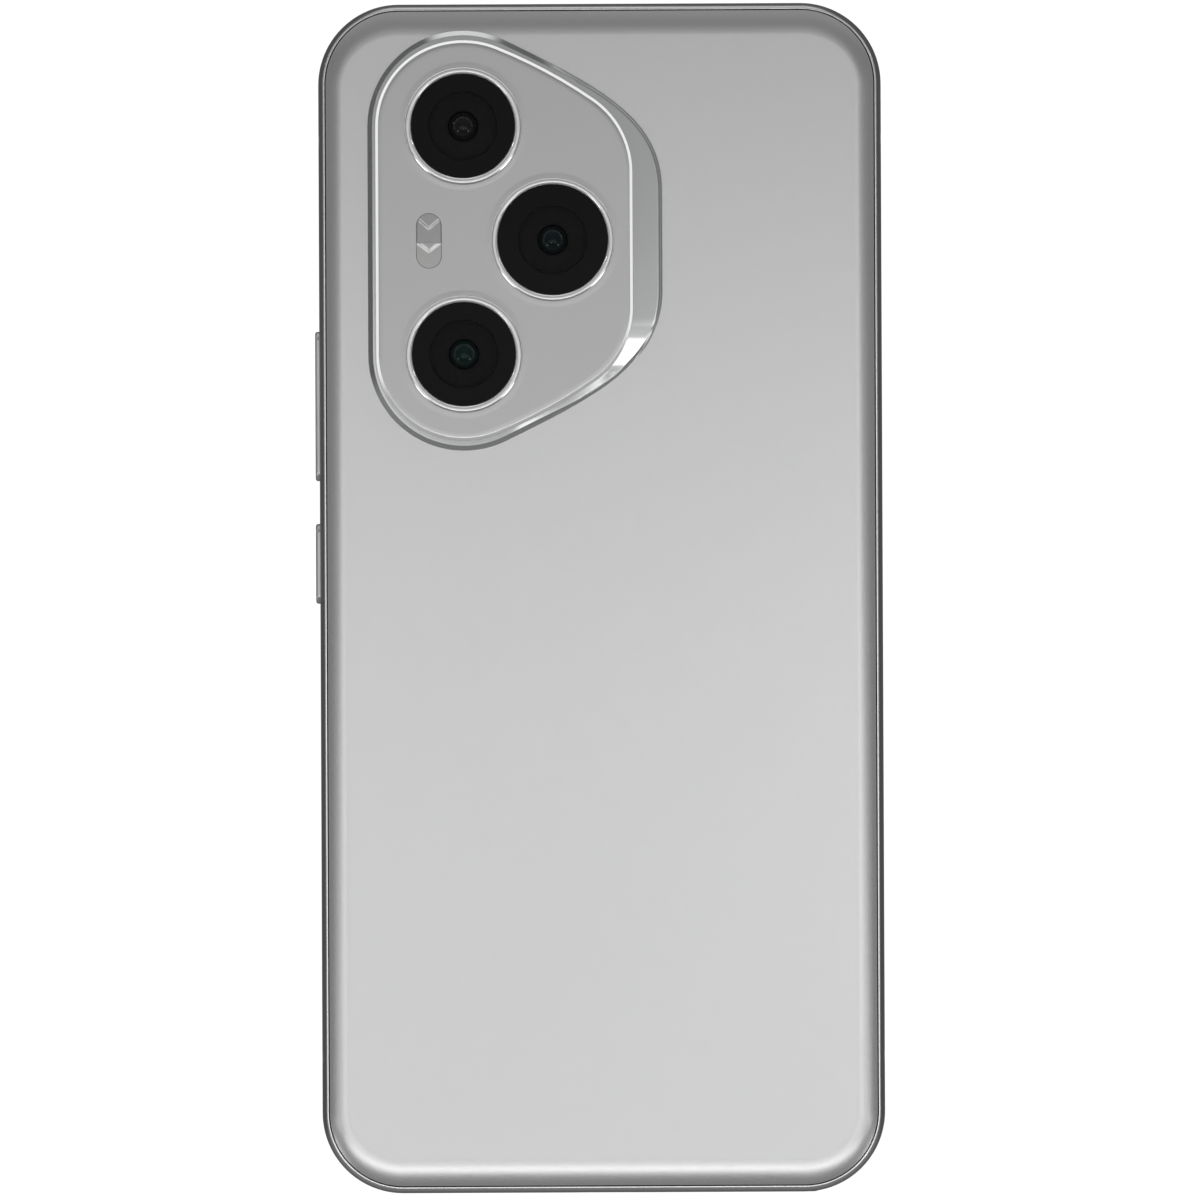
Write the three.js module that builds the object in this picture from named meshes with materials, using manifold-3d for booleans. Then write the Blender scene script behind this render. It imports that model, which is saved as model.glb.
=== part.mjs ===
// Smartphone lying on its display. +Z points out of the rear cover, +Y towards the top edge and
// +X to the right as seen from behind. The origin is the centre of the display glass's outer
// face. All sizes are in millimetres.

import * as THREE from 'three';
import { mergeVertices } from 'three/addons/utils/BufferGeometryUtils.js';
import Module from 'manifold-3d';

const wasm = await Module();
wasm.setup();

// ---- Driving dimensions ---------------------------------------------------------------------

const BODY_LENGTH = 160.8;
const BODY_WIDTH = 76.1;
const BODY_CORNER = 10.9;
const COVER_TOP = 8.1;
const MID_HEIGHT = 3.9; // keys, tray, socket and sound holes are all centred on this height

const FRAME_LOW = 0.35;
const FRAME_HIGH = 7.45;
const FRAME_CROWN = 0.45; // how far the rim curves in, and over what height
const FRAME_CROWN_HEIGHT = 2.0;
const FRAME_LIP = 0.87;
const FRAME_WALL = 2.6;

const GLASS_INSET = 1.1;
const GLASS_TOP = 0.6;
const PLATE_LOW = 1.6;
const PLATE_HIGH = 2.1;
const COVER_INSET = 1.02;
const COVER_LOW = 7.35;
const COVER_CURVE = 2.6;
const COVER_CURVE_HEIGHT = 0.62;
const COVER_LEDGE = 7.15;

const FIT = 0.15; // clearance round a key, a tray or a ring in its hole
const FILM = 0.05; // adhesive or air between two faces that rest on each other

const ISLAND_MIDDLE = 48.35; // the island is symmetric about this height up the phone
const BASE_TOP = 9.4;
const PLATE_TOP = 10.7;
const RING_TOP = 11.1;

// The three cameras: name, centre, glass radius and ring radius.
const CAMERAS = [
  { name: 'upper', x: -18.45, y: 63.8, glass: 7.05, ring: 7.9, module: 12.0 },
  { name: 'middle', x: -6.4, y: 48.4, glass: 7.5, ring: 8.3, module: 12.6 },
  { name: 'lower', x: -18.45, y: 33.0, glass: 7.05, ring: 7.9, module: 12.0 },
];
const FLASH = { x: -23.1, y: 48.3, width: 3.4, length: 7.4 };

const POWER_KEY = { y: 4.8, length: 10.8 };
const VOLUME_KEY = { y: 26.1, length: 20.2 };
const KEY_HEIGHT = 2.4;
const KEY_PROUD = 0.57;

const TRAY_DOOR = { x: 21.8, width: 14.2, height: 2.4, depth: 1.3 };
const TRAY_BODY = { x: 20.6, width: 10.6, height: 1.6 };
const EJECT_X = 27.3;
const EJECT_PIVOT = { x: 23.9, y: -58.0 };
const EJECT_ARM = 3.4;

// ---- Materials ------------------------------------------------------------------------------

function finish(color, roughness, metalness) {
  return new THREE.MeshStandardMaterial({ color, roughness, metalness });
}

const ALUMINIUM = [0xa9acae, 0.35, 1.0];
const SATIN_SILVER = [0xc4c6c7, 0.45, 0.6];
const BLACK_GLASS = [0x141414, 0.05, 0.0];
const BLACK_PLASTIC = [0x1b1c1e, 0.6, 0.0];
const STEEL = [0xb8b9ba, 0.3, 1.0];
const CIRCUIT = [0x12301f, 0.5, 0.0];
const FILM_ORANGE = [0xb5702c, 0.5, 0.0];
const RUBBER = [0x202020, 0.8, 0.0];
const FOIL = [0x3c3e42, 0.5, 0.4];

// ---- Shape helpers --------------------------------------------------------------------------

// A rectangle with round corners, drawn anticlockwise.
function rounded(width, length, corner, x = 0, y = 0) {
  const right = x + width / 2 - corner;
  const left = x - width / 2 + corner;
  const top = y + length / 2 - corner;
  const bottom = y - length / 2 + corner;
  const shape = new THREE.Shape();
  shape.absarc(right, top, corner, 0, Math.PI / 2);
  shape.absarc(left, top, corner, Math.PI / 2, Math.PI);
  shape.absarc(left, bottom, corner, Math.PI, Math.PI * 1.5);
  shape.absarc(right, bottom, corner, Math.PI * 1.5, Math.PI * 2);
  shape.closePath();
  return shape;
}

// The body's outline, moved in by an inset all round.
function outline(inset) {
  return rounded(BODY_WIDTH - 2 * inset, BODY_LENGTH - 2 * inset, BODY_CORNER - inset);
}

function slab(shape, low, high, arcSteps = 5) {
  const settings = { depth: high - low, bevelEnabled: false, curveSegments: arcSteps };
  return new THREE.ExtrudeGeometry(shape, settings).translate(0, 0, low);
}

// A slab whose two rims are quarter ellipses that stand out from the shape by crown.width.
function crownedSlab(shape, low, high, crown, arcSteps = 5) {
  const settings = {
    depth: high - low - 2 * crown.height,
    bevelSize: crown.width,
    bevelThickness: crown.height,
    bevelSegments: crown.steps,
    curveSegments: arcSteps,
  };
  return new THREE.ExtrudeGeometry(shape, settings).translate(0, 0, low + crown.height);
}

function box(x, y, z) {
  const middle = [x, y, z].map(([low, high]) => (low + high) / 2);
  const size = [x, y, z].map(([low, high]) => high - low);
  return new THREE.BoxGeometry(...size).translate(...middle);
}

// Round bars along Z and along Y.
function postZ(radius, x, y, low, high, sides = 24) {
  const bar = new THREE.CylinderGeometry(radius, radius, high - low, sides);
  return bar.rotateX(Math.PI / 2).translate(x, y, (low + high) / 2);
}

function postY(radius, x, z, low, high, sides = 16) {
  const bar = new THREE.CylinderGeometry(radius, radius, high - low, sides);
  return bar.translate(x, (low + high) / 2, z);
}

const X = new THREE.Vector3(1, 0, 0);
const Y = new THREE.Vector3(0, 1, 0);
const Z = new THREE.Vector3(0, 0, 1);

// Outlines drawn in the YZ plane and driven along X, or drawn in the ZX plane and along Y.
function slabX(shape, low, high, arcSteps = 4) {
  return slab(shape, low, high, arcSteps).applyMatrix4(new THREE.Matrix4().makeBasis(Y, Z, X));
}

function slabY(shape, low, high, arcSteps = 4) {
  return slab(shape, low, high, arcSteps).applyMatrix4(new THREE.Matrix4().makeBasis(Z, X, Y));
}

// Round-ended slots and pills through the body's edges, centred on the mid height.
function pillX(length, height, y, low, high) {
  return slabX(rounded(length, height, height * 0.499, y, MID_HEIGHT), low, high);
}

function pillY(width, height, x, low, high, arcSteps = 3) {
  return slabY(rounded(height, width, height * 0.499, MID_HEIGHT, x), low, high, arcSteps);
}

// Turns a closed geometry into a solid that can be joined and cut.
function solid(geometry) {
  const bare = geometry.clone();
  bare.deleteAttribute('normal');
  bare.deleteAttribute('uv');
  const merged = mergeVertices(bare);
  const mesh = new wasm.Mesh({
    numProp: 3,
    vertProperties: new Float32Array(merged.attributes.position.array),
    triVerts: new Uint32Array(merged.index.array),
  });
  return new wasm.Manifold(mesh);
}

function cut(body, cutters) {
  return cutters.reduce((left, cutter) => left.subtract(solid(cutter)), body);
}

function join(body, extras) {
  return extras.reduce((whole, extra) => whole.add(solid(extra)), body);
}

function geometryOf(body) {
  const mesh = body.getMesh();
  const geometry = new THREE.BufferGeometry();
  geometry.setAttribute('position', new THREE.BufferAttribute(mesh.vertProperties, 3));
  geometry.setIndex(new THREE.BufferAttribute(mesh.triVerts, 1));
  return geometry;
}

const phone = new THREE.Group();

function add(name, shape, look) {
  const geometry = shape.isBufferGeometry ? shape : geometryOf(shape);
  const mesh = new THREE.Mesh(geometry, finish(...look));
  mesh.name = name;
  phone.add(mesh);
}

// ---- Camera island outlines -----------------------------------------------------------------

// The centre of the long flat arc of radius big that runs from round corner a to round corner b
// and is tangent to both.
function joinCentre(a, b, big) {
  const fromA = big - a.r;
  const fromB = big - b.r;
  const span = new THREE.Vector2(b.x - a.x, b.y - a.y);
  const distance = span.length();
  const along = (fromA ** 2 - fromB ** 2 + distance ** 2) / (2 * distance);
  const across = Math.sqrt(fromA ** 2 - along ** 2);
  span.normalize();
  return {
    x: a.x + span.x * along - span.y * across,
    y: a.y + span.y * along + span.x * across,
  };
}

function angleTo(from, to) {
  return Math.atan2(to.y - from.y, to.x - from.x);
}

// Reflects the upper half of an outline in the island's middle line and closes it, anticlockwise.
function mirrored(upperHalf) {
  const lowerHalf = upperHalf.map((p) => new THREE.Vector2(p.x, 2 * ISLAND_MIDDLE - p.y));
  return [...upperHalf, ...lowerHalf.reverse()];
}

function arcPoints(centre, radius, from, to, steps) {
  const arc = new THREE.EllipseCurve(centre.x, centre.y, radius, radius, from, to, from > to);
  return arc.getPoints(steps);
}

// The raised plate: two arcs concentric with the outer cameras, two right-hand corners, and a
// long flat arc between them.
function plateOutline() {
  const lens = { x: CAMERAS[0].x, y: CAMERAS[0].y, r: 12.2 };
  const corner = { x: -7.75, y: 57.5, r: 12.5 };
  const flatRadius = 70;
  const middle = joinCentre(corner, lens, flatRadius);
  const turn = angleTo(middle, corner);
  const meet = angleTo(middle, lens);
  return mirrored([
    ...arcPoints(corner, corner.r, 0, turn, 5),
    ...arcPoints(middle, flatRadius, turn, meet, 3).slice(1, -1),
    ...arcPoints(lens, lens.r, meet, Math.PI, 9),
  ]);
}

// The lower step: the same two arcs on the left, and a shoulder that swells out to the right.
function baseOutline() {
  const lens = { x: CAMERAS[0].x, y: CAMERAS[0].y, r: 12.95 };
  const leave = (64 * Math.PI) / 180;
  const tangent = 15.5;
  const end = new THREE.Vector2(
    lens.x + lens.r * Math.cos(leave),
    lens.y + lens.r * Math.sin(leave),
  );
  const pull = new THREE.Vector2(
    end.x + tangent * Math.sin(leave),
    end.y - tangent * Math.cos(leave),
  );
  const start = new THREE.Vector2(8.4, 55.0);
  const push = new THREE.Vector2(8.4, 64.4);
  const shoulder = new THREE.CubicBezierCurve(start, push, pull, end);
  return mirrored([
    ...shoulder.getPoints(10),
    ...arcPoints(lens, lens.r, leave, Math.PI, 9).slice(1),
  ]);
}

// Moves every point of an anticlockwise outline inwards.
function shrink(points, inset) {
  return points.map((point, i) => {
    const before = points.at(i - 1);
    const after = points[(i + 1) % points.length];
    const along = after.clone().sub(before).normalize();
    return new THREE.Vector2(point.x - along.y * inset, point.y + along.x * inset);
  });
}

function shapeOf(points) {
  return new THREE.Shape(points);
}

// ---- Frame ----------------------------------------------------------------------------------

const EDGE_X = BODY_WIDTH / 2;
const EDGE_Y = BODY_LENGTH / 2;
const INNER_X = EDGE_X - FRAME_WALL;
const INNER_Y = EDGE_Y - FRAME_WALL;
const TRAY_POCKET = TRAY_DOOR.depth + 1.0;
const SPEAKER_SLOTS = [-24.6, -21.8, -19.0, -16.2, -13.4, -10.6];
const BOTTOM_MIC_X = 11.5;
const TOP_MIC_X = 15.5;
const INFRARED_X = 22.0;
const SELFIE = { x: 0, y: 74.2, radius: 1.9 };
const SCREWS = [[6, 22], [31.4, 22], [31.4, 70.5], [6, 70.5]];
const SCREW_BOSS = { radius: 1.7, bore: 0.75, high: 5.7 };
const BREAKS = { y: 62.0, width: 1.3, depth: 1.2, low: 1.5, high: 6.3 };
const SENSOR = { y: -60.0, side: 8.0, low: 1.5, high: 2.4 };

function breakBox(side, end, gap) {
  const outer = side * (EDGE_X + 1);
  const inner = side * (EDGE_X - BREAKS.depth + gap);
  const half = BREAKS.width / 2 - gap;
  const middle = end * BREAKS.y;
  return box(
    [Math.min(outer, inner), Math.max(outer, inner)],
    [middle - half, middle + half],
    [BREAKS.low + gap, BREAKS.high - gap],
  );
}

function frameBlank() {
  const crown = { width: FRAME_CROWN, height: FRAME_CROWN_HEIGHT, steps: 3 };
  return solid(crownedSlab(outline(FRAME_CROWN), FRAME_LOW, FRAME_HIGH, crown));
}

function keySlot(key) {
  return pillX(key.length + 2 * FIT, KEY_HEIGHT + 2 * FIT, key.y, -EDGE_X - 1, -INNER_X + 1);
}

function midFrame() {
  const hollow = cut(frameBlank(), [
    slab(outline(GLASS_INSET - FIT), -1, GLASS_TOP + FILM),
    slab(outline(FRAME_LIP + 1.3), -1, PLATE_LOW, 3),
    slab(outline(FRAME_WALL), PLATE_HIGH, COVER_TOP, 3),
    slab(outline(FRAME_LIP), COVER_LEDGE, COVER_TOP),
  ]);
  const bosses = SCREWS.map(([x, y]) => {
    return postZ(SCREW_BOSS.radius, x, y, PLATE_HIGH - 0.2, SCREW_BOSS.high, 12);
  });
  const pivot = postZ(0.5, EJECT_PIVOT.x, EJECT_PIVOT.y, PLATE_HIGH - 0.2, 4.6, 12);
  const trayWidth = TRAY_BODY.width + 0.4;
  const trayHeight = TRAY_BODY.height + 0.4;
  return cut(join(hollow, [...bosses, pivot]), [
    ...SCREWS.map(([x, y]) => postZ(SCREW_BOSS.bore, x, y, 3.4, 8, 8)),
    keySlot(POWER_KEY),
    keySlot(VOLUME_KEY),
    pillY(TRAY_DOOR.width + 0.3, TRAY_DOOR.height + 0.3, TRAY_DOOR.x,
      -EDGE_Y - 1, -EDGE_Y + TRAY_POCKET),
    box([TRAY_BODY.x - trayWidth / 2, TRAY_BODY.x + trayWidth / 2], [-EDGE_Y, -INNER_Y + 1],
      [MID_HEIGHT - trayHeight / 2, MID_HEIGHT + trayHeight / 2]),
    postY(0.7, EJECT_X, MID_HEIGHT, -EDGE_Y, -INNER_Y + 1, 12),
    pillY(9.3, 3.5, 0, -EDGE_Y - 1, -INNER_Y + 1),
    ...SPEAKER_SLOTS.map((x) => pillY(1.9, 1.1, x, -EDGE_Y - 1, -INNER_Y + 1, 2)),
    postY(0.5, BOTTOM_MIC_X, MID_HEIGHT, -EDGE_Y - 1, -INNER_Y + 1, 12),
    postY(0.5, TOP_MIC_X, MID_HEIGHT, INNER_Y - 1, EDGE_Y + 1, 12),
    postY(1.2, INFRARED_X, MID_HEIGHT, INNER_Y - 1, EDGE_Y + 1, 16),
    postZ(SELFIE.radius + 0.9, SELFIE.x, SELFIE.y, 1, 3, 20),
    box([18.5, 27.5], [18.2, 19.0], [1, 3]),
    box([-SENSOR.side / 2 - 0.2, SENSOR.side / 2 + 0.2],
      [SENSOR.y - SENSOR.side / 2 - 0.2, SENSOR.y + SENSOR.side / 2 + 0.2], [1, 3]),
    ...[-1, 1].flatMap((side) => [-1, 1].map((end) => breakBox(side, end, 0))),
  ]);
}

add('mid_frame', midFrame(), ALUMINIUM);

// Plastic plugs that part the metal band, shaped by the band itself.
for (const [side, sideName] of [[-1, 'left'], [1, 'right']]) {
  for (const [end, endName] of [[-1, 'bottom'], [1, 'top']]) {
    const plug = frameBlank().intersect(solid(breakBox(side, end, 0.1)));
    add(`antenna_break_${endName}_${sideName}`, plug, [0x9a9c9e, 0.5, 0.0]);
  }
}

// ---- Display side ---------------------------------------------------------------------------

// Only the outer rim of the glass is curved, so the inner half of a doubled slab is cut away.
function frontGlass() {
  const curve = { width: 1.4, height: 0.4, steps: 3 };
  const blank = crownedSlab(outline(GLASS_INSET + curve.width), 0, 2 * GLASS_TOP, curve);
  return cut(solid(blank), [box([-50, 50], [-90, 90], [GLASS_TOP, 3])]);
}

function displayPanel() {
  const hole = postZ(SELFIE.radius, SELFIE.x, SELFIE.y, 0, 3, 20);
  return cut(solid(slab(outline(FRAME_LIP + 1.6), 0.65, 1.15)), [hole]);
}

function displayBacking() {
  const window = box([-3, 3], [SENSOR.y - 3, SENSOR.y + 3], [0, 3]);
  const hole = postZ(SELFIE.radius + 0.5, SELFIE.x, SELFIE.y, 0, 3, 20);
  return cut(solid(slab(outline(FRAME_LIP + 2.2), 1.2, 1.42, 3)), [window, hole]);
}

function displayFlex() {
  const bend = [[18.5, 1.48], [18.7, 1.48], [18.7, 2.3], [26, 2.3], [26, 2.45], [18.5, 2.45]];
  return slabX(shapeOf(bend.map(([y, z]) => new THREE.Vector2(y, z))), 19, 27);
}

add('front_glass', frontGlass(), BLACK_GLASS);
add('display_panel', displayPanel(), BLACK_GLASS);
add('display_backing', displayBacking(), FOIL);
add('display_flex', displayFlex(), FILM_ORANGE);
add('fingerprint_sensor', box([-4, 4], [SENSOR.y - 4, SENSOR.y + 4], [SENSOR.low, SENSOR.high]),
  BLACK_PLASTIC);

// ---- Rear cover and camera island -----------------------------------------------------------

const ISLAND_HOLE_INSET = 0.9;

function rearCover() {
  const curve = { width: COVER_CURVE, height: COVER_CURVE_HEIGHT, steps: 4 };
  const low = 2 * COVER_LOW - COVER_TOP;
  const blank = crownedSlab(outline(COVER_INSET + COVER_CURVE), low, COVER_TOP, curve);
  return cut(solid(blank), [
    box([-50, 50], [-90, 90], [0, COVER_LOW]),
    slab(shapeOf(shrink(baseOutline(), ISLAND_HOLE_INSET)), 7, 9),
  ]);
}

function coverAdhesive() {
  const ring = solid(slab(outline(COVER_INSET + 0.1), COVER_LEDGE + 0.03, COVER_LOW - 0.03, 4));
  return cut(ring, [slab(outline(FRAME_WALL - 0.1), 7, 8, 4)]);
}

function cameraHoles(radius, low, high, sides) {
  return CAMERAS.map((camera) => postZ(radius(camera), camera.x, camera.y, low, high, sides));
}

function flashPill(grow, low, high) {
  const width = FLASH.width + 2 * grow;
  const length = FLASH.length + 2 * grow;
  return slab(rounded(width, length, width * 0.499, FLASH.x, FLASH.y), low, high, 3);
}

// The lower step: a flange bonded on the cover, over a plug that drops into the cover's hole.
function cameraBase() {
  const rim = { width: 0.5, height: 0.6, steps: 2 };
  const low = 2 * (COVER_TOP + FILM) - BASE_TOP;
  const blank = crownedSlab(shapeOf(shrink(baseOutline(), rim.width)), low, BASE_TOP, rim);
  const flange = cut(solid(blank), [box([-50, 50], [0, 90], [0, COVER_TOP + FILM])]);
  const plug = slab(shapeOf(shrink(baseOutline(), ISLAND_HOLE_INSET + 0.3)), 7.5, 8.4);
  return cut(join(flange, [plug]), [
    ...cameraHoles(() => 6.2, 7, 10, 20),
    flashPill(-0.2, 7, 10),
  ]);
}

function cameraPlate() {
  const rim = { width: 1.0, height: 0.7, steps: 3 };
  const low = BASE_TOP + FILM;
  const blank = crownedSlab(shapeOf(shrink(plateOutline(), rim.width)), 2 * low - PLATE_TOP,
    PLATE_TOP, rim);
  const plate = cut(solid(blank), [box([-50, 50], [0, 90], [0, low])]);
  return cut(plate, [
    ...cameraHoles((camera) => camera.ring + FIT, 9, 12, 32),
    flashPill(FIT, 9, 12),
  ]);
}

const GLASS_SEAT = 10.15;

// A turned piece: its section runs anticlockwise, from radius and height pairs.
function profile(points, sides, x, y) {
  const turned = new THREE.LatheGeometry(points.map(([r, z]) => new THREE.Vector2(r, z)), sides);
  return turned.rotateX(Math.PI / 2).translate(x, y, 0);
}

// A turned trim ring with a bevel on each side of its flat top, and a seat for its glass.
function lensRing({ x, y, glass, ring }) {
  const low = BASE_TOP + FILM;
  return profile([
    [6.3, low],
    [ring, low],
    [ring, RING_TOP - 0.25],
    [ring - 0.2, RING_TOP],
    [glass + 0.15, RING_TOP],
    [glass + 0.05, RING_TOP - 0.1],
    [glass + 0.05, GLASS_SEAT],
    [6.3, GLASS_SEAT],
    [6.3, low],
  ], 32, x, y);
}

// A camera module: a square housing with the lens barrel standing on it.
function cameraModule({ x, y, module }) {
  const half = module / 2;
  const barrel = profile([
    [0, 6.8], [4.9, 6.8], [4.9, 9.6], [3.4, 9.6], [2.2, 8.9], [0, 9.1],
  ], 20, x, y);
  const housing = box([x - half, x + half], [y - half, y + half], [2.4, 7.1]);
  return solid(housing).add(solid(barrel));
}

add('rear_cover', rearCover(), SATIN_SILVER);
add('cover_adhesive', coverAdhesive(), BLACK_PLASTIC);
add('camera_base', cameraBase(), SATIN_SILVER);
add('camera_plate', cameraPlate(), SATIN_SILVER);
for (const camera of CAMERAS) {
  add(`lens_ring_${camera.name}`, solid(lensRing(camera)), ALUMINIUM);
  add(`lens_glass_${camera.name}`,
    postZ(camera.glass, camera.x, camera.y, GLASS_SEAT + FILM, RING_TOP - 0.25, 32), BLACK_GLASS);
  add(`camera_module_${camera.name}`, cameraModule(camera), BLACK_PLASTIC);
}
add('flash_window', flashPill(0, BASE_TOP + FILM, PLATE_TOP - 0.05), [0xe8e8e4, 0.15, 0.0]);
add('flash_led', flashPill(-0.6, 7.4, 9.2), [0xe9dfa8, 0.4, 0.0]);

// ---- Keys -----------------------------------------------------------------------------------

// Each key is a pill through the wall with a wider flange inside, which stops it falling out.
const FLANGE_X = [-35.1, -34.7];

function sideKey(key) {
  const outside = -EDGE_X - KEY_PROUD;
  const cap = solid(pillX(key.length, KEY_HEIGHT, key.y, outside, FLANGE_X[0] + 0.1));
  const half = key.length / 2 + 0.5;
  const flange = box(FLANGE_X, [key.y - half, key.y + half], [MID_HEIGHT - 1.6, MID_HEIGHT + 1.6]);
  return join(cap, [flange]);
}

function domeSwitch(y) {
  return box([-34.35, -33.85], [y - 1.6, y + 1.6], [MID_HEIGHT - 1.2, MID_HEIGHT + 1.2]);
}

add('power_key', sideKey(POWER_KEY), ALUMINIUM);
add('volume_key', sideKey(VOLUME_KEY), ALUMINIUM);
add('power_switch', domeSwitch(POWER_KEY.y), STEEL);
add('volume_up_switch', domeSwitch(VOLUME_KEY.y + 7), STEEL);
add('volume_down_switch', domeSwitch(VOLUME_KEY.y - 7), STEEL);
add('key_flex', box([-33.8, -33.6], [-2, 36], [2.6, 5.2]), FILM_ORANGE);

// ---- Card tray and its ejector --------------------------------------------------------------

const TRAY_BACK = -63.0;

function simTray() {
  const half = TRAY_BODY.width / 2;
  const face = -EDGE_Y + TRAY_DOOR.depth;
  const door = solid(pillY(TRAY_DOOR.width, TRAY_DOOR.height, TRAY_DOOR.x, -EDGE_Y, face));
  const level = [MID_HEIGHT - TRAY_BODY.height / 2, MID_HEIGHT + TRAY_BODY.height / 2];
  const body = box([TRAY_BODY.x - half, TRAY_BODY.x + half], [face - 0.2, TRAY_BACK], level);
  return cut(join(door, [body]), [
    postY(0.45, EJECT_X, MID_HEIGHT, -EDGE_Y - 1, face + 1, 12),
    box([TRAY_BODY.x - half + 0.8, TRAY_BODY.x + half - 0.8], [-76.6, -64.2],
      [level[0] + 0.15, level[1] + 1]),
  ]);
}

function traySeal() {
  const low = -EDGE_Y + TRAY_DOOR.depth + 0.1;
  const ring = solid(slabY(rounded(2.2, 11.4, 0.7, MID_HEIGHT, TRAY_BODY.x), low, low + 0.6));
  return cut(ring, [slabY(rounded(1.7, 10.7, 0.05, MID_HEIGHT, TRAY_BODY.x), -90, -70, 1)]);
}

// The reader's steel cage: a tunnel that the tray slides into.
function simReader() {
  const outer = solid(box([14.8, 26.4], [-77.5, -62.4], [2.7, 5.1]));
  return cut(outer, [box([15.1, 26.1], [-80, -60], [MID_HEIGHT - 0.95, MID_HEIGHT + 0.95])]);
}

// The lever turns on its pivot between the rod and the slider, with both just clear of it.
function ejectLever() {
  const { x, y } = EJECT_PIVOT;
  const reach = EJECT_ARM + 0.6;
  const bar = solid(box([x - reach, x + reach], [y - 0.6, y + 0.6], [3.65, 4.15]));
  return join(bar, [postZ(0.95, x, y, 3.65, 4.15, 16)]).subtract(solid(postZ(0.6, x, y, 3, 5, 16)));
}

const EJECT_END = EJECT_PIVOT.y - 0.9;
const SLIDER_X = EJECT_PIVOT.x - EJECT_ARM;

add('sim_tray', simTray(), ALUMINIUM);
add('sim_tray_seal', traySeal(), RUBBER);
add('sim_reader', simReader(), STEEL);
add('eject_rod', box([EJECT_X - 0.6, EJECT_X + 0.6], [-77.3, EJECT_END], [3.3, 4.5]), STEEL);
add('eject_lever', ejectLever(), STEEL);
add('eject_slider', box([SLIDER_X - 0.6, SLIDER_X + 0.6], [TRAY_BACK + 0.1, EJECT_END], [3.6, 4.2]),
  STEEL);

// ---- Bottom edge: socket, loudspeaker, microphone -------------------------------------------

function usbShell() {
  const outer = solid(pillY(8.94, 3.16, 0, -EDGE_Y + 0.25, -72.9));
  return cut(outer, [pillY(8.34, 2.56, 0, -90, -73.3), pillY(7.4, 1.6, 0, -74, -70)]);
}

function usbTongue() {
  const blade = box([-3.32, 3.32], [-79.5, -72.7], [MID_HEIGHT - 0.35, MID_HEIGHT + 0.35]);
  const root = box([-3.5, 3.5], [-74.4, -72.7], [MID_HEIGHT - 0.6, MID_HEIGHT + 0.6]);
  return join(solid(root), [blade]);
}

add('usb_shell', usbShell(), STEEL);
add('usb_tongue', usbTongue(), BLACK_PLASTIC);
add('sub_board', box([-6, 13.6], [-72.4, -65.0], [2.6, 3.3]), CIRCUIT);
add('speaker_module', slab(rounded(22.4, 10.8, 1.2, -17.8, -71.7), 2.3, 6.5, 3), BLACK_PLASTIC);
add('speaker_mesh', pillY(17.4, 1.8, -17.6, -77.75, -77.55), STEEL);
add('bottom_microphone', box([10, 13], [-77.6, -75.6], [3.3, 4.5]), STEEL);
add('vibration_motor', slab(rounded(10, 9, 1.0, -27.6, -60.2), 2.3, 5.8, 3), STEEL);

// ---- Battery and what lies over it ----------------------------------------------------------

// A flat ribbon that rises from the lower board, runs over the battery and drops to the upper.
function boardLink() {
  const bend = [
    [-67.5, 3.4], [-63.3, 3.4], [-63.3, 6.5], [24.1, 6.5], [24.1, 4.15], [20.4, 4.15],
    [20.4, 4.0], [24.3, 4.0], [24.3, 6.7], [-63.5, 6.7], [-63.5, 3.6], [-67.5, 3.6],
  ];
  return slabX(shapeOf(bend.map(([y, z]) => new THREE.Vector2(y, z))), 8.6, 13.2);
}

add('battery', slab(rounded(62, 70.5, 1.5, 0, -18.0), 2.25, 6.45, 3), FOIL);
add('board_link_flex', boardLink(), FILM_ORANGE);
add('graphite_sheet', slab(rounded(60, 66, 2, 0, -18.0), 6.85, 6.95, 3), FOIL);

// ---- Main board, its shield and the upper bracket -------------------------------------------

function drilled(blank, radius) {
  return cut(solid(blank), SCREWS.map(([x, y]) => postZ(radius, x, y, 2, 7.3, 12)));
}

function mainBoard() {
  return drilled(slab(rounded(30.5, 54.4, 1.5, 18.75, 46.4), 3.0, 3.8, 3), SCREW_BOSS.radius + 0.2);
}

function boardBracket() {
  const plate = drilled(slab(rounded(30.5, 53.4, 1.5, 18.75, 46.4), 5.8, 6.2, 3), 0.85);
  return cut(plate, [box([8.2, 13.6], [19, 25], [5, 7])]);
}

function shieldCan() {
  const outer = solid(box([9, 29], [27, 66], [3.9, 5.4]));
  return cut(outer, [box([9.3, 28.7], [27.3, 65.7], [3, 5.2])]);
}

function nfcAntenna() {
  const coil = solid(slab(rounded(25, 30, 3, 19, 47), 6.3, 6.42, 3));
  return cut(coil, [slab(rounded(21, 26, 2, 19, 47), 6, 7, 3)]);
}

function screw([x, y]) {
  const head = 6.25;
  return profile([
    [0, 3.9], [0.6, 3.9], [0.6, head], [1.15, head], [1.15, head + 0.3], [0, head + 0.4],
  ], 10, x, y);
}

add('main_board', mainBoard(), CIRCUIT);
add('processor_chip', box([12, 26], [34, 48], [3.88, 4.9]), BLACK_PLASTIC);
add('shield_can', shieldCan(), STEEL);
add('board_bracket', boardBracket(), BLACK_PLASTIC);
add('nfc_antenna', nfcAntenna(), FILM_ORANGE);
SCREWS.forEach((place, i) => add(`board_screw_${i + 1}`, solid(screw(place)), STEEL));

// ---- Top edge: front camera, earpiece, microphone, infrared window --------------------------

function frontCamera() {
  const { x, y, radius } = SELFIE;
  const housing = box([x - 2.4, x + 2.4], [y - 2.4, y + 2.4], [2.4, 5.2]);
  return join(solid(housing), [postZ(radius - 0.2, x, y, 1.3, 2.6, 20)]);
}

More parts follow.
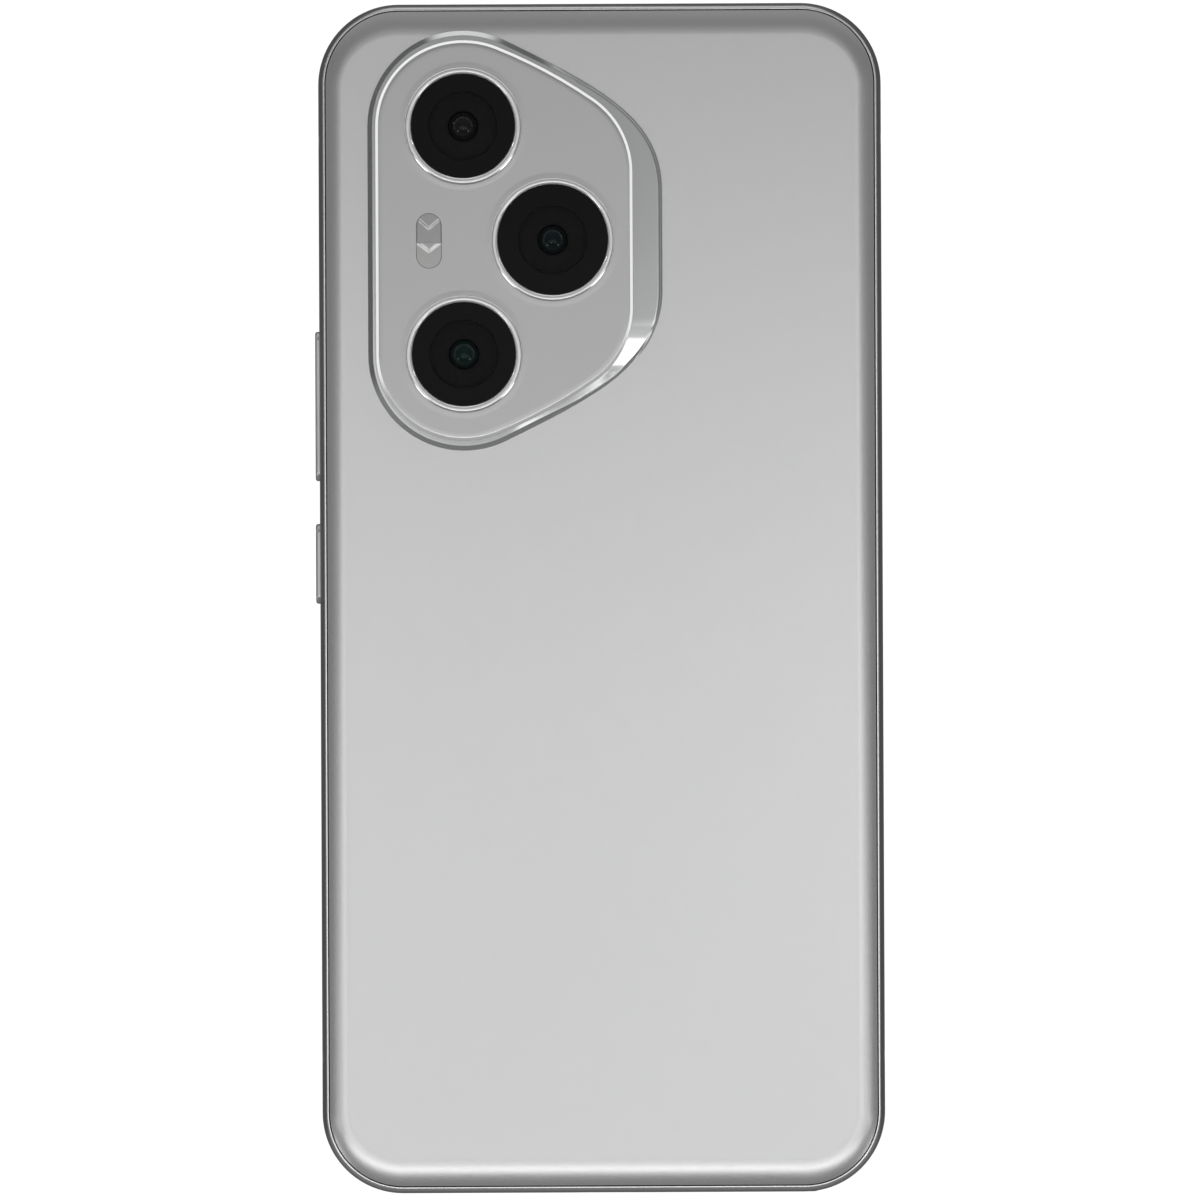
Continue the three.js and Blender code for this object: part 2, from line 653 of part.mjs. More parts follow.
add('front_camera', frontCamera(), BLACK_PLASTIC);
add('earpiece_speaker', slab(rounded(8.6, 5.2, 1.0, -8.0, 74.6), 2.3, 4.8, 3), BLACK_PLASTIC);
add('top_microphone', box([14, 17], [75.7, 77.6], [3.3, 4.5]), STEEL);
add('infrared_window', postY(1.05, INFRARED_X, MID_HEIGHT, 77.9, EDGE_Y - 0.02, 16), BLACK_GLASS);

export default phone;
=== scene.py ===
import math

import bmesh
import bpy
from mathutils import Matrix, Vector


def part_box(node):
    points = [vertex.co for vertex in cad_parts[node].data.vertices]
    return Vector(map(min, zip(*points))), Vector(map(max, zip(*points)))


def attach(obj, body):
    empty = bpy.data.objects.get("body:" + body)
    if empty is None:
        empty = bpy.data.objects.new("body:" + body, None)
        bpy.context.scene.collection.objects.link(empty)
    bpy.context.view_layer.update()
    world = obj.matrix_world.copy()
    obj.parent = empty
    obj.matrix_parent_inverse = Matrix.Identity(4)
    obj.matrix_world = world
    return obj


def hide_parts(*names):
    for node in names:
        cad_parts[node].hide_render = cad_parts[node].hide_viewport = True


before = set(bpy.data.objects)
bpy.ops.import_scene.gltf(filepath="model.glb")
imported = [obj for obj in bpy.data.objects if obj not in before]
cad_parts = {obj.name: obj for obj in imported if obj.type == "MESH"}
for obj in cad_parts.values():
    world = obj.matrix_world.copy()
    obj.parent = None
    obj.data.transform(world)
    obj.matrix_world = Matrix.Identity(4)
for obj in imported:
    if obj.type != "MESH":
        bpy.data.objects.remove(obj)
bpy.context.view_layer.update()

# ==== Studio ==================================================================================
# The phone lies on its display on a plain pale table, under soft studio light, and the camera
# looks straight down on its back. Lengths below are millimetres; MM turns them into metres.

MM = 0.001


class Wire:
    """An output of a shader node. Arithmetic on it adds the Math node that does the sum."""

    def __init__(self, graph, socket):
        self.graph = graph
        self.socket = socket

    def maths(self, operation, *terms):
        sockets = dict(enumerate(terms))
        return self.graph.node("ShaderNodeMath", {"operation": operation}, sockets)

    def __add__(self, other):
        return self.maths("ADD", self, other)

    def __sub__(self, other):
        return self.maths("SUBTRACT", self, other)

    def __rsub__(self, other):
        return self.maths("SUBTRACT", other, self)

    def __mul__(self, other):
        return self.maths("MULTIPLY", self, other)

    __radd__ = __add__
    __rmul__ = __mul__

    def step(self, low, high):
        """0 below low, 1 above high, and a smooth climb between."""
        settings = {"interpolation_type": "SMOOTHSTEP"}
        return self.graph.node("ShaderNodeMapRange", settings, {0: self, 1: low, 2: high})


class Graph:
    """A node tree that code fills in."""

    def __init__(self, tree):
        self.tree = tree

    def node(self, kind, settings=None, sockets=None, output=0):
        made = self.tree.nodes.new(kind)
        for name, value in (settings or {}).items():
            setattr(made, name, value)
        for name, value in (sockets or {}).items():
            if isinstance(value, Wire):
                self.tree.links.new(value.socket, made.inputs[name])
            else:
                made.inputs[name].default_value = value
        return Wire(self, made.outputs[output])

    def split(self, vector, part):
        return self.node("ShaderNodeSeparateXYZ", None, {0: vector}, "XYZ".index(part))

    def mix(self, factor, low, high):
        """A colour between two colours."""
        settings = {"data_type": "RGBA"}
        return self.node("ShaderNodeMix", settings, {0: factor, 6: low, 7: high}, 2)


def grey(value, red=1.0, green=1.0, blue=1.0):
    return (value * red, value * green, value * blue, 1.0)


def hang_lamp(name, place, aim, size, radiance):
    """A rectangular soft box at place, facing aim, as bright as radiance all over its face."""
    lamp = bpy.data.lights.new(name, "AREA")
    lamp.shape = "RECTANGLE"
    lamp.size, lamp.size_y = size
    lamp.energy = radiance * math.pi * size[0] * size[1]
    holder = bpy.data.objects.new(name, lamp)
    holder.location = place
    facing = Vector(aim) - Vector(place)
    holder.rotation_euler = facing.to_track_quat("-Z", "Y").to_euler()
    bpy.context.scene.collection.objects.link(holder)


def sky():
    """Dim below and overhead, with a bright band a third of the way up round all but the foot.
    The ceiling is paler towards the head, and a low glow stands beyond the head."""
    world = bpy.data.worlds.new("studio")
    bpy.context.scene.world = world
    world.use_nodes = True
    graph = Graph(world.node_tree)
    direction = graph.node("ShaderNodeTexCoord", output=0)
    height = graph.split(direction, "Z")
    along = graph.split(direction, "Y")
    low_down = 1 - height.step(0.05, 0.30)
    towards_foot = 1 - along.step(-0.45, -0.15)
    horizon = graph.mix(towards_foot, grey(0.08), grey(0.27))
    walls = graph.mix(height.step(-0.98, -0.30), grey(0.10), horizon)
    ceiling = graph.mix(along.step(0.25, 0.50), grey(0.17), grey(0.32))
    room = graph.mix(low_down, ceiling, walls)
    belt = height.step(0.34, 0.38) - height.step(0.53, 0.57)
    belted = graph.mix(belt, room, graph.mix(towards_foot, grey(0.95), grey(0.40)))
    glow = along.step(0.90, 0.97) * height.step(-0.40, -0.25) * low_down
    lit_room = graph.mix(glow, belted, grey(1.05))
    background = world.node_tree.nodes["Background"]
    graph.tree.links.new(lit_room.socket, background.inputs["Color"])


sky()
hang_lamp("overhead", (-0.03, -0.15, 1.30), (-0.03, -0.15, 0), (0.56, 0.46), 0.38)
hang_lamp("overhead_foot", (-0.03, -0.235, 1.31), (-0.03, -0.235, 0), (0.56, 0.29), 0.26)
hang_lamp("overhead_head", (-0.03, 0.19, 1.30), (-0.03, 0.19, 0), (0.56, 0.24), 0.21)
hang_lamp("foot_strip", (0.0, -0.365, 1.29), (0, -0.2, 0), (0.90, 0.12), 2.4)
hang_lamp("right_strip", (0.36, -0.10, 1.28), (0.1, 0, 0), (0.12, 0.70), 1.5)
hang_lamp("left_strip", (-0.38, -0.10, 1.28), (-0.1, 0, 0), (0.12, 0.70), 1.1)
for side in (-1, 1):
    hang_lamp("side_box", (side * 1.064, 0.474, 0.424), (0, 0, 0), (0.09, 0.05), 14.0)
    hang_lamp("key_box", (side * 0.71, -0.55, 0.84), (0, 0, 0), (0.30, 0.22), 3.2)


def table():
    """A pale matt table, lit a little from within so that it stays plain and even."""
    bpy.ops.mesh.primitive_plane_add(size=12.0, location=(0, 0, -0.0002))
    top = bpy.context.object
    top.name = "table"
    material = bpy.data.materials.new("pale_table")
    material.use_nodes = True
    shader = material.node_tree.nodes["Principled BSDF"]
    shader.inputs["Base Color"].default_value = grey(0.80)
    shader.inputs["Roughness"].default_value = 0.9
    shader.inputs["Emission Color"].default_value = grey(1.0)
    shader.inputs["Emission Strength"].default_value = 0.80
    top.data.materials.append(material)
    top.visible_glossy = False


def camera():
    """Overhead, two metres up, so that the phone's length nearly fills the square frame."""
    lens = bpy.data.cameras.new("camera")
    lens.sensor_width = 36.0
    lens.lens = 488.0
    lens.clip_start = 0.01
    holder = bpy.data.objects.new("camera", lens)
    tilt = math.radians(0.1)
    lean = math.radians(-0.25)
    distance = 2.2
    target = Vector((-0.00024, -0.00026, 0.006))
    holder.location = target + Vector((0, -math.sin(tilt), math.cos(tilt))) * distance
    turn = Matrix.Rotation(lean, 4, "Z") @ Matrix.Rotation(tilt, 4, "X")
    holder.rotation_euler = turn.to_euler()
    bpy.context.scene.collection.objects.link(holder)
    bpy.context.scene.camera = holder


table()
camera()
bpy.context.scene.view_settings.view_transform = "Standard"

# ==== Metal band ==============================================================================
# The band is milled from aluminium with the plate that carries everything, bead-blasted and
# anodised silver. Its side is nearly flat, its rear rim rolls in to a narrow polished lip.

BODY_CORNER = 10.9
LIP = 0.87
KEY_LEVEL = 3.9

AXES = {
    "X": lambda u, v, w: (w, u, v),
    "Y": lambda u, v, w: (v, w, u),
    "Z": lambda u, v, w: (u, v, w),
}


def cad(node):
    """A CAD node's low and high corners in millimetres."""
    low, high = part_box(node)
    return low / MM, high / MM


def arc(x, y, radius, start, end, steps):
    """Points on an arc, each with the direction that points out of the outline there."""
    points = []
    for i in range(steps + 1):
        angle = start + (end - start) * i / steps
        out = (math.cos(angle), math.sin(angle))
        points.append((x + radius * out[0], y + radius * out[1], *out))
    return points


def filled(edge, spacing):
    """Adds points along the straight runs of an outline."""
    full = []
    for here, there in zip(edge, edge[1:] + edge[:1]):
        run = math.hypot(there[0] - here[0], there[1] - here[1])
        parts = math.ceil(run / spacing - 0.001) or 1
        for i in range(parts):
            full.append(tuple(a + (b - a) * i / parts for a, b in zip(here, there)))
    return full


def rounded(low, high, corner, steps=12, fill=None):
    """An outline function for a rectangle with round corners: it takes an inset. With fill,
    its straight sides carry points no further apart than that."""
    quarter = math.pi / 2
    centres = [
        (high[0] - corner, high[1] - corner),
        (low[0] + corner, high[1] - corner),
        (low[0] + corner, low[1] + corner),
        (high[0] - corner, low[1] + corner),
    ]
    edge = []
    for turn, (x, y) in enumerate(centres):
        edge += arc(x, y, corner, turn * quarter, (turn + 1) * quarter, steps)
    if fill:
        edge = filled(edge, fill)
    return lambda inset: [(x - u * inset, y - v * inset) for x, y, u, v in edge]


def circle(x, y, radius, steps=96):
    edge = arc(x, y, 1.0, 0, 2 * math.pi, steps)[:-1]
    return lambda inset: [(x + u * (radius - inset), y + v * (radius - inset)) for *_, u, v in edge]


def roll(start, end, steps=6):
    """Sections on a quarter ellipse that leaves start along the axis and ends square to it."""
    (inset, low), (deep, high) = start, end
    turns = [math.pi / 2 * i / steps for i in range(steps + 1)]
    return [
        (inset + (deep - inset) * (1 - math.cos(t)), low + (high - low) * math.sin(t))
        for t in turns
    ]


def loft(name, outline, sections, axis="Z", hollow=False):
    """Skins an outline through sections, each an inset and a place along the axis."""
    shape = bmesh.new()
    rows = []
    for inset, along in sections:
        points = [Vector(AXES[axis](u, v, along)) * MM for u, v in outline(inset)]
        rows.append([shape.verts.new(point) for point in points])
    for row, above in zip(rows, rows[1:] + rows[:1] if hollow else rows[1:]):
        for i in range(len(row)):
            j = (i + 1) % len(row)
            shape.faces.new((row[i], row[j], above[j], above[i]))
    if not hollow:
        shape.faces.new(rows[0])
        shape.faces.new(rows[-1])
    bmesh.ops.remove_doubles(shape, verts=shape.verts, dist=0.0002 * MM)
    bmesh.ops.recalc_face_normals(shape, faces=shape.faces)
    mesh = bpy.data.meshes.new(name)
    shape.to_mesh(mesh)
    shape.free()
    made = bpy.data.objects.new(name, mesh)
    bpy.context.scene.collection.objects.link(made)
    return made


def join(target, extras):
    """Adds other meshes to target as they are, and removes them."""
    shape = bmesh.new()
    shape.from_mesh(target.data)
    for extra in extras:
        shape.from_mesh(extra.data)
        bpy.data.objects.remove(extra)
    shape.to_mesh(target.data)
    shape.free()
    return target


def settle(piece):
    """Makes what a piece's modifiers do part of its mesh."""
    view = bpy.context.evaluated_depsgraph_get()
    mesh = bpy.data.meshes.new_from_object(piece.evaluated_get(view))
    piece.modifiers.clear()
    piece.data = mesh


def carve(target, cutters, operation="DIFFERENCE"):
    """Cuts cutters, which don't touch each other, out of target, and removes them."""
    cutter = join(cutters[0], cutters[1:])
    change = target.modifiers.new("cut", "BOOLEAN")
    change.operation = operation
    change.solver = "EXACT"
    change.object = cutter
    settle(target)
    bpy.data.objects.remove(cutter)
    return target


class Finish(Graph):
    """A piece's procedural material. Values that are even all over are set on the shader."""

    def __init__(self, name, **even):
        self.material = bpy.data.materials.new(name)
        self.material.use_nodes = True
        super().__init__(self.material.node_tree)
        self.shader = self.tree.nodes["Principled BSDF"]
        for socket, value in even.items():
            self.shader.inputs[socket.replace("_", " ")].default_value = value

    def place(self):
        """Where a point is on the piece, in metres, in the phone's own frame."""
        return self.node("ShaderNodeTexCoord", output=3)

    def noise(self, scale, detail=2.0, stretch=None):
        where = self.place()
        if stretch:
            settings = {"operation": "MULTIPLY"}
            where = self.node("ShaderNodeVectorMath", settings, {0: where, 1: stretch})
        sockets = {"Vector": where, "Scale": scale, "Detail": detail}
        return self.node("ShaderNodeTexNoise", None, sockets)

    def feed(self, socket, value):
        self.tree.links.new(value.socket, self.shader.inputs[socket])

    def relief(self, height, depth):
        """Bumps as deep as depth millimetres where height goes from 0 to 1."""
        sockets = {"Height": height, "Distance": depth * MM, "Strength": 1.0}
        self.feed("Normal", self.node("ShaderNodeBump", None, sockets))


def dress(piece, finish, body="chassis", stands_for=(), sharp=32):
    """Smooths a piece, gives it its finish and fixes it to its body."""
    piece.data.shade_smooth()
    piece.data.set_sharp_from_angle(angle=math.radians(sharp))
    even = piece.modifiers.new("even", "WEIGHTED_NORMAL")
    even.keep_sharp = True
    even.weight = 100
    settle(piece)
    piece.data.materials.clear()
    piece.data.materials.append(finish.material)
    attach(piece, body)
    if stands_for:
        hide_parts(*stands_for)
    return piece


def anodised(name, tone=0.60, polish_above=None):
    """Bead-blasted and anodised aluminium; above a height in millimetres it is polished."""
    metal = Finish(name, Metallic=1.0)
    cloud = metal.noise(60.0)
    grain = metal.noise(9000.0, 1.0)
    colour = metal.mix(cloud, grey(tone * 0.97), grey(tone * 1.03, 1.0, 1.003, 1.006))
    rough = 0.30 + 0.08 * grain
    if polish_above is not None:
        height = metal.split(metal.place(), "Z")
        shine = height.step((polish_above - 0.05) * MM, (polish_above + 0.05) * MM)
        rough = rough - 0.14 * shine
        colour = metal.mix(shine, colour, grey(0.90))
    metal.feed("Base Color", colour)
    metal.feed("Roughness", rough)
    metal.relief(grain, 0.002)
    return metal


body_low, body_high = cad("mid_frame")
band = rounded(body_low, body_high, BODY_CORNER, 24)
RIM = [
    (0.0, 5.3), (0.02, 5.65), (0.06, 6.00), (0.12, 6.32), (0.19, 6.60), (0.28, 6.86), (0.38, 7.07),
    (0.48, 7.23), (0.58, 7.35), (0.64, 7.41), (0.69, 7.44), (0.76, 7.45), (0.85, 7.445), (LIP, 7.42),
    (LIP, 7.15),
]
FRONT_RIM = [(0.95, 0.62), (0.95, 0.45), (0.92, 0.38), *reversed(roll((0.0, 2.4), (0.80, 0.36), 8))]
mid_frame = loft(
    "band", band,
    [*FRONT_RIM, *RIM, (2.6, 7.15), (2.6, 2.10), (2.6, 1.60), (2.17, 1.60), (2.17, 0.62)],
    hollow=True,
)


def slot_hole(axis, width, height, middle, wall):
    """A round-ended hole through a wall of the band, centred on the keys' level."""
    half = Vector((width / 2, height / 2))
    centre = Vector((middle, KEY_LEVEL)) if axis == "X" else Vector((KEY_LEVEL, middle))
    reach = half if axis == "X" else Vector((half.y, half.x))
    outline = rounded(centre - reach, centre + reach, min(half) - 0.001, 10)
    return loft("hole", outline, [(0, wall[0]), (0, wall[1])], axis)


def along_edge(node):
    """The middle and the length of a key, measured along the phone."""
    low, high = cad(node)
    return (low.y + high.y) / 2, high.y - low.y - 1.0


power_middle, power_length = along_edge("power_key")
volume_middle, volume_length = along_edge("volume_key")
left, right = body_low.x, body_high.x
foot, head = body_low.y, body_high.y
tray_low, tray_high = cad("sim_tray")
tray_middle, tray_width = (tray_low.x + tray_high.x) / 2, tray_high.x - tray_low.x
mic_low, mic_high = cad("bottom_microphone")
top_mic_low, top_mic_high = cad("top_microphone")
infrared_low, infrared_high = cad("infrared_window")
mesh_low, mesh_high = cad("speaker_mesh")
speaker_places = [mesh_low.x + 1.7 + 2.8 * i for i in range(6)]
PLAY = 0.3
SLOT_HEIGHT = 2.7
side_wall = (left - 1, left + 3.5)
foot_wall = (foot - 1, foot + 3.5)
head_wall = (head - 3.5, head + 1)
carve(mid_frame, [
    slot_hole("X", power_length + PLAY, SLOT_HEIGHT, power_middle, side_wall),
    slot_hole("X", volume_length + PLAY, SLOT_HEIGHT, volume_middle, side_wall),
    slot_hole("Y", tray_width + PLAY, SLOT_HEIGHT, tray_middle, foot_wall),
    slot_hole("Y", 9.3, 3.5, 0.0, foot_wall),
    *[slot_hole("Y", 1.9, 1.1, x, foot_wall) for x in speaker_places],
    slot_hole("Y", 1.0, 1.0, (mic_low.x + mic_high.x) / 2, foot_wall),
    slot_hole("Y", 1.0, 1.0, (top_mic_low.x + top_mic_high.x) / 2, head_wall),
    slot_hole("Y", 2.4, 2.4, (infrared_low.x + infrared_high.x) / 2, head_wall),
])
mid_plate = loft("mid_plate", rounded(body_low, body_high, BODY_CORNER), [(2.62, 1.6), (2.62, 2.1)])
band_metal = anodised("anodised_band", 0.62, 7.41)
dress(mid_frame, band_metal, stands_for=["mid_frame"])
dress(mid_plate, anodised("milled_plate", 0.5))

# ==== Antenna breaks ==========================================================================
# Four plastic plugs are moulded into slots in the long sides so that the band can act as an
# aerial. They are cut with the band, so their faces carry its curve.

BREAK_HALF = 0.65
MOULD_GAP = 0.03
for corner in ["bottom_left", "bottom_right", "top_left", "top_right"]:
    node = "antenna_break_" + corner
    low, high = cad(node)
    middle = (low.y + high.y) / 2
    outer = left - 1 if low.x < 0 else right + 1
    inner = low.x if low.x > 0 else high.x
    slots = []
    for gap in (0.0, MOULD_GAP):
        edges = sorted((outer, inner - math.copysign(gap, inner)))
        half = BREAK_HALF - gap
        block = rounded((edges[0], middle - half), (edges[1], middle + half), 0.02, 1)
        slots.append(loft("slot", block, [(0, 1.5 + gap), (0, 6.3 - gap)]))
    carve(mid_frame, [slots[0]])
    plug = loft(node.replace("break", "plug"), band, [*FRONT_RIM, *RIM])
    carve(plug, [slots[1]], "INTERSECT")
    resin = Finish("break_resin", Roughness=0.42)
    fleck = resin.noise(2500.0)
    resin.feed("Base Color", resin.mix(fleck, grey(0.34), grey(0.38, 1.0, 1.004, 1.008)))
    resin.relief(fleck, 0.003)
    dress(plug, resin, stands_for=[node])

# ==== Display =================================================================================
# One sheet of toughened glass, black at rest, with its rim curved down to the band. The front
# camera looks through a clear spot, and the earpiece sounds through a slit above it.

glass_low, glass_high = cad("front_glass")
SELFIE_X = 0.0
SELFIE_Y = 74.2
glass_band = rounded(glass_low, glass_high, BODY_CORNER - 1.1, 20)
front_glass = loft(
    "display_glass", glass_band,
    [(0.05, 0.60), (0.0, 0.56), (0.0, 0.42), *roll((0.0, 0.40), (1.4, 0.0), 8)],
)
ink = Finish("display_ink", Roughness=0.03, Coat_Roughness=0.02)
spot = ink.place()
camera_spot = {0: spot, 1: (SELFIE_X * MM, SELFIE_Y * MM, 0.0)}
away = ink.node("ShaderNodeVectorMath", {"operation": "DISTANCE"}, camera_spot, "Value")
mirrored = ink.node("ShaderNodeVectorMath", {"operation": "ABSOLUTE"}, {0: spot})
side_border = ink.split(mirrored, "X").step(34.9 * MM, 35.0 * MM)
end_border = ink.split(mirrored, "Y").step(77.2 * MM, 77.3 * MM)
border = side_border.maths("MAXIMUM", side_border, end_border)
smear = ink.noise(30.0, 4.0)
ink.feed("Base Color", ink.mix(border, grey(0.010, 0.95, 1.0, 1.1), grey(0.003)))
ink.feed("Roughness", 0.025 + 0.05 * smear)
ink.feed("Alpha", away.step(1.35 * MM, 1.45 * MM))
dress(front_glass, ink, stands_for=["front_glass"], sharp=50)

slit = loft("slit", rounded((-5.6, 79.0), (5.6, 79.72), 0.34), [(0, -1), (0, 1.0)])
carve(mid_frame, [slit])
slit_mesh = rounded((-5.5, 79.32), (5.5, 79.66), 0.16)
earpiece_mesh = loft("earpiece_mesh", slit_mesh, [(0, 0.85), (0, 0.9)])


def woven(name, tone, pitch):
    """Fine black or bare metal mesh, with its holes pressed in at a pitch in millimetres."""
    cloth = Finish(name, Metallic=0.9, Roughness=0.5)
    settings = {"feature": "F1"}
    sockets = {"Vector": cloth.place(), "Scale": 1 / (pitch * MM), "Randomness": 0.0}
    hole = cloth.node("ShaderNodeTexVoronoi", settings, sockets).step(0.28, 0.40)
    cloth.feed("Base Color", cloth.mix(hole, grey(0.004), grey(tone)))
    cloth.relief(hole, 0.05)
    return cloth


dress(earpiece_mesh, woven("earpiece_weave", 0.05, 0.16))


def turned(name, x, y, rows, steps=64, hollow=False):
    """A turned piece with its axis up: rows are radius and height pairs."""
    return loft(name, circle(x, y, 0.0, steps), [(-r, z) for r, z in rows], hollow=hollow)


def moulded(name, tone, rough=0.5, warm=1.0, grain=1500.0, depth=0.006, gloss=0.5):
    """Moulded plastic with a fine spark-eroded grain."""
    plastic = Finish(name, Specular_IOR_Level=gloss)
    texture = plastic.noise(grain)
    plastic.feed("Base Color", plastic.mix(texture, grey(tone * 0.85, warm), grey(tone * 1.15, warm)))
    plastic.feed("Roughness", rough - 0.05 + 0.1 * texture)
    plastic.relief(texture, depth)
    return plastic


def from_axis(finish, x, y):
    """How far a point is from the upright line through x and y, in metres."""
    sockets = {0: finish.place(), 1: (1.0, 1.0, 0.0)}
    flat = finish.node("ShaderNodeVectorMath", {"operation": "MULTIPLY"}, sockets)
    sockets = {0: flat, 1: (x * MM, y * MM, 0.0)}
    return finish.node("ShaderNodeVectorMath", {"operation": "DISTANCE"}, sockets, "Value")


def coated(name, tint, rim, x, y, radius):
    """A coated lens element: its tint turns to another colour towards its rim."""
    element = Finish(name, Roughness=0.03, IOR=1.25)
    outwards = from_axis(element, x, y).step(0.2 * radius * MM, radius * MM)
    element.feed("Base Color", element.mix(outwards, tint, rim))
    return element


barrel_rows = [
    (1.65, 2.6), (1.65, 1.36), (1.55, 1.30), (1.30, 1.30), (0.75, 1.75), (0.62, 1.75), (0.0, 1.75),
]
selfie_barrel = turned("front_camera_barrel", SELFIE_X, SELFIE_Y, barrel_rows)
selfie_house = loft(
    "front_camera_house",
    rounded((SELFIE_X - 2.4, SELFIE_Y - 2.4), (SELFIE_X + 2.4, SELFIE_Y + 2.4), 0.4, 4),
    [(0.1, 2.4), (0, 2.5), (0, 5.1), (0.1, 5.2)],
)
carve(selfie_barrel, [selfie_house], "UNION")
barrel_black = moulded("front_barrel_black", 0.012, 0.4)
dress(selfie_barrel, barrel_black, stands_for=["front_camera"])
selfie_lens = turned(
    "front_camera_lens", SELFIE_X, SELFIE_Y,
    [(0.95, 1.78), (0.95, 1.62), (0.8, 1.50), (0.55, 1.41), (0.25, 1.36), (0.0, 1.35)],
)
blue_tint = grey(0.02, 0.5, 0.7, 1.6)
front_coat = coated("front_lens_coat", blue_tint, grey(0.01), SELFIE_X, SELFIE_Y, 0.9)
dress(selfie_lens, front_coat, sharp=60)

# ==== Rear cover ==============================================================================
# A shell of glass, curved at its rim, etched to a satin face over a silver-grey film. It is
# bonded into the band with a thin even gap, and has one opening for the camera island.

cover_low, cover_high = cad("rear_cover")
COVER_TOP = 8.1
COVER_CORNER = BODY_CORNER - 1.02
COVER_WIDTH = 2.5
COVER_DROP = 0.44
END_BEND = 1.35
ISLAND_MIDDLE = 48.35
cover_rows = [(0.12, 7.15), (0.02, 7.16), (0.0, 7.20)]
BEND_STEPS = 14
for i in range(BEND_STEPS + 1):
    share = i / BEND_STEPS
    cover_rows.append((0.012 + COVER_WIDTH * share, COVER_TOP - COVER_DROP * (1 - share) ** 2))
cover_edge = rounded(cover_low, cover_high, COVER_CORNER, 24)


def bent_edge(inset):
    """The cover's outline, whose bend is wider at the ends than along the sides."""
    points = []
    for (x, y), (deep_x, deep_y) in zip(cover_edge(0), cover_edge(1)):
        points.append((x + (deep_x - x) * inset, y + (deep_y - y) * inset * END_BEND))
    return points


rear_cover = loft("cover_shell", bent_edge, cover_rows)

UPPER_LENS = Vector((-18.45, 63.8))


def bend(start, push, pull, end, steps):
    """Points on a cubic curve, each with the direction on its right-hand side."""
    points = []
    for i in range(steps + 1):
        t = i / steps
        s = 1 - t
        place = start * s**3 + push * (3 * s * s * t) + pull * (3 * s * t * t) + end * t**3
        along = (push - start) * (s * s) + (pull - push) * (2 * s * t) + (end - pull) * (t * t)
        along.normalize()
        points.append((place.x, place.y, along.y, -along.x))
    return points


def island(upper_half):
    """An outline function from an island's upper half, which its lower half mirrors."""
    lower = [(x, 2 * ISLAND_MIDDLE - y, u, -v) for x, y, u, v in reversed(upper_half)]
    edge = upper_half + lower
    return lambda inset: [(x - u * inset, y - v * inset) for x, y, u, v in edge]


leave = math.radians(64)
base_radius = 12.95
shoulder_end = UPPER_LENS + base_radius * Vector((math.cos(leave), math.sin(leave)))
shoulder_pull = shoulder_end + 15.5 * Vector((math.sin(leave), -math.cos(leave)))
shoulder = bend(Vector((8.4, 55.0)), Vector((8.4, 64.4)), shoulder_pull, shoulder_end, 30)
base_edge = island(shoulder + arc(*UPPER_LENS, base_radius, leave, math.pi, 26)[1:])

carve(rear_cover, [loft("opening", base_edge, [(0.6, 6.0), (0.6, 9.0)])])
satin = Finish("etched_cover", Metallic=0.85)
cloud = satin.noise(14.0, 3.0)
etch = satin.noise(7000.0, 1.0)
satin.feed("Base Color", satin.mix(cloud, grey(0.70), grey(0.715, 1.0, 1.003, 1.003)))
satin.feed("Roughness", 0.22 + 0.04 * etch)
satin.relief(etch, 0.0015)
dress(rear_cover, satin, stands_for=["rear_cover"])

# Painted shade: a black strip put in the floor of the gap between the band and the cover, to darken
# the narrow gap.
gap_shade_strip = loft("cover_gap_shade_strip", band, [(0.88, 7.16), (0.88, 7.20), (1.03, 7.20), (1.03, 7.16)], hollow=True)
dress(gap_shade_strip, moulded("gap_shade_black", 0.02, 0.8))

# ==== Camera base =============================================================================
# A moulded step, bonded on the cover, that carries the camera plate. Its shoulder swells out
# to the right as a flat plaque, which falls away below a fold. Its skirt slopes in to a chamfer.

BASE_TOP = cad("camera_base")[1].z
SKIRT = 0.64
CHAMFER = 0.10
SWELL_START = -9.0
SWELL_WIDTH = 9.0
STEEPENING = 0.62
SUNK = 8.05
FOLD = 37.3
FALL_START = -12.0
FALL_WIDTH = 13.0
DEEPEST_FALL = 0.80
CAMERAS = {
    "upper": (-18.45, 63.8, 7.05, 7.9),
    "middle": (-6.4, 48.4, 7.5, 8.3),
    "lower": (-18.45, 33.0, 7.05, 7.9),
}


def smooth(share):
    """Turns an even climb from 0 to 1 into one that starts and ends gently."""
    share = min(1.0, max(0.0, share))
    return share * share * (3 - 2 * share)


def skirt_edge(inset):
    """The base's outline, whose skirt is steeper on the right, beside the plaque."""
    points = []
    for (x, y), (deep_x, deep_y) in zip(base_edge(0), base_edge(1)):
        right_hand = smooth((x - SWELL_START) / SWELL_WIDTH)
        wall = min(inset, SKIRT) * (1 - STEEPENING * right_hand)
        bevel = min(max(0.0, inset - SKIRT), CHAMFER) * (0.5 + 0.9 * right_hand)
        reach = wall + bevel + max(0.0, inset - SKIRT - CHAMFER)
        points.append((x + (deep_x - x) * reach, y + (deep_y - y) * reach))
    return points


